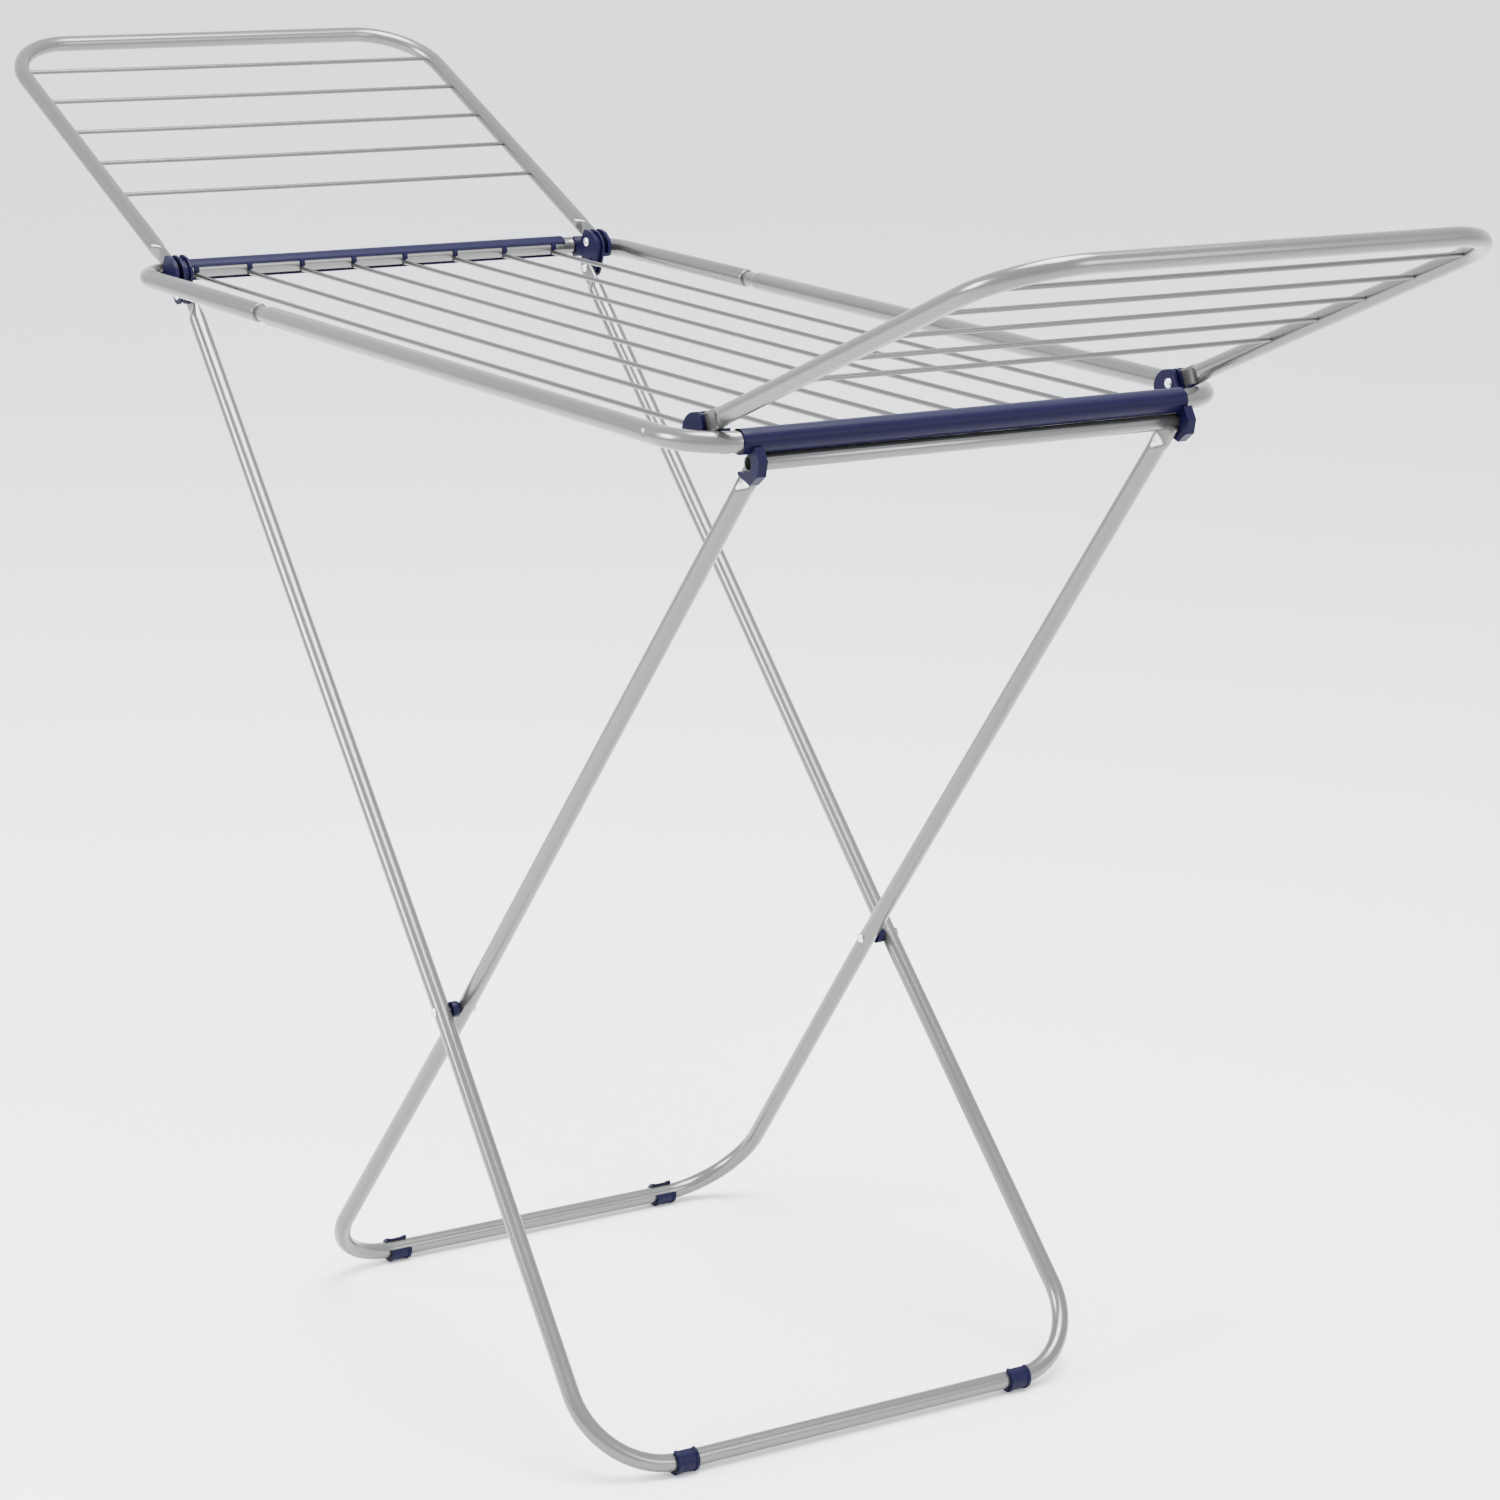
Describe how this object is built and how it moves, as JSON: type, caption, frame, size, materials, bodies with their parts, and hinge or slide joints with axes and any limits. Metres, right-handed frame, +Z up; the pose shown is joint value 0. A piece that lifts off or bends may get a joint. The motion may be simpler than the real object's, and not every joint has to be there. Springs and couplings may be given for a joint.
{
  "type": "folding clothes drying rack",
  "caption": "Folding tubular steel clothes drying rack with a level wire rack, two raised wings, crossed folding legs and dark moulded fittings.",
  "frame": {"origin": "centre of the overall footprint, on the floor", "axes": "+Z up; X along the long side, +X towards the end whose cover hooks over the crossbar; Y across the rack, -Y the near side"},
  "size_m": [1.7796, 0.5596, 1.1366],
  "materials": {
    "tube_lacquer": "satin silver lacquer on steel tube",
    "wire_lacquer": "satin silver lacquer on steel wire",
    "navy_plastic": "dark navy moulded plastic with a slight sheen",
    "rivet_steel": "bright pressed rivet heads"
  },
  "bodies": {
    "rack": {"rack_frame_left": "tube_lacquer", "rack_frame_right": "tube_lacquer", "rack_wire_1": "wire_lacquer", "rack_wire_2": "wire_lacquer", "rack_wire_3": "wire_lacquer", "rack_wire_4": "wire_lacquer", "rack_wire_5": "wire_lacquer", "rack_wire_6": "wire_lacquer", "rack_wire_7": "wire_lacquer", "rack_wire_8": "wire_lacquer", "end_cover_left": "navy_plastic", "end_cover_right": "navy_plastic", "bracket_left_near": "navy_plastic", "bracket_left_far": "navy_plastic", "bracket_right_near": "navy_plastic", "bracket_right_far": "navy_plastic", "wing_rivet_left_near": "rivet_steel", "wing_rivet_left_far": "rivet_steel", "wing_rivet_right_near": "rivet_steel", "wing_rivet_right_far": "rivet_steel", "leg_rivet_near": "rivet_steel", "leg_rivet_far": "rivet_steel"},
    "outer_legs": {"leg_frame_outer": "tube_lacquer", "foot_clip_outer_near": "navy_plastic", "foot_clip_outer_far": "navy_plastic", "pivot_rivet_near": "rivet_steel", "pivot_rivet_far": "rivet_steel", "pivot_spacer_near": "navy_plastic", "pivot_spacer_far": "navy_plastic"},
    "inner_legs": {"leg_frame_inner": "tube_lacquer", "leg_crossbar": "tube_lacquer", "foot_clip_inner_near": "navy_plastic", "foot_clip_inner_far": "navy_plastic"},
    "wing_left": {"wing_left_tube": "tube_lacquer", "wing_left_wire_1": "wire_lacquer", "wing_left_wire_2": "wire_lacquer", "wing_left_wire_3": "wire_lacquer", "wing_left_wire_4": "wire_lacquer", "wing_left_wire_5": "wire_lacquer"},
    "wing_right": {"wing_right_tube": "tube_lacquer", "wing_right_wire_1": "wire_lacquer", "wing_right_wire_2": "wire_lacquer", "wing_right_wire_3": "wire_lacquer", "wing_right_wire_4": "wire_lacquer", "wing_right_wire_5": "wire_lacquer"}
  },
  "joints": [
    {"name": "outer_leg_hinge", "type": "hinge", "parent": "rack", "child": "outer_legs", "pos_m": [-0.4735, 0, 0.923], "axis": [0, 1, 0], "range_deg": [0, 35]},
    {"name": "legs_close", "type": "hinge", "parent": "outer_legs", "child": "inner_legs", "pos_m": [0.07418, 0, 0.34456], "axis": [0, -1, 0], "range_deg": [0, 78]},
    {"name": "wing_left_fold", "type": "hinge", "parent": "rack", "child": "wing_left", "pos_m": [-0.478, 0, 0.94896], "axis": [0, 1, 0], "range_deg": [0, 156]},
    {"name": "wing_right_fold", "type": "hinge", "parent": "rack", "child": "wing_right", "pos_m": [0.478, 0, 0.94896], "axis": [0, -1, 0], "range_deg": [0, 156]}
  ],
  "couplings": [
    {"joint": "outer_leg_hinge", "follows": "legs_close", "ratio": 0.445}
  ]
}
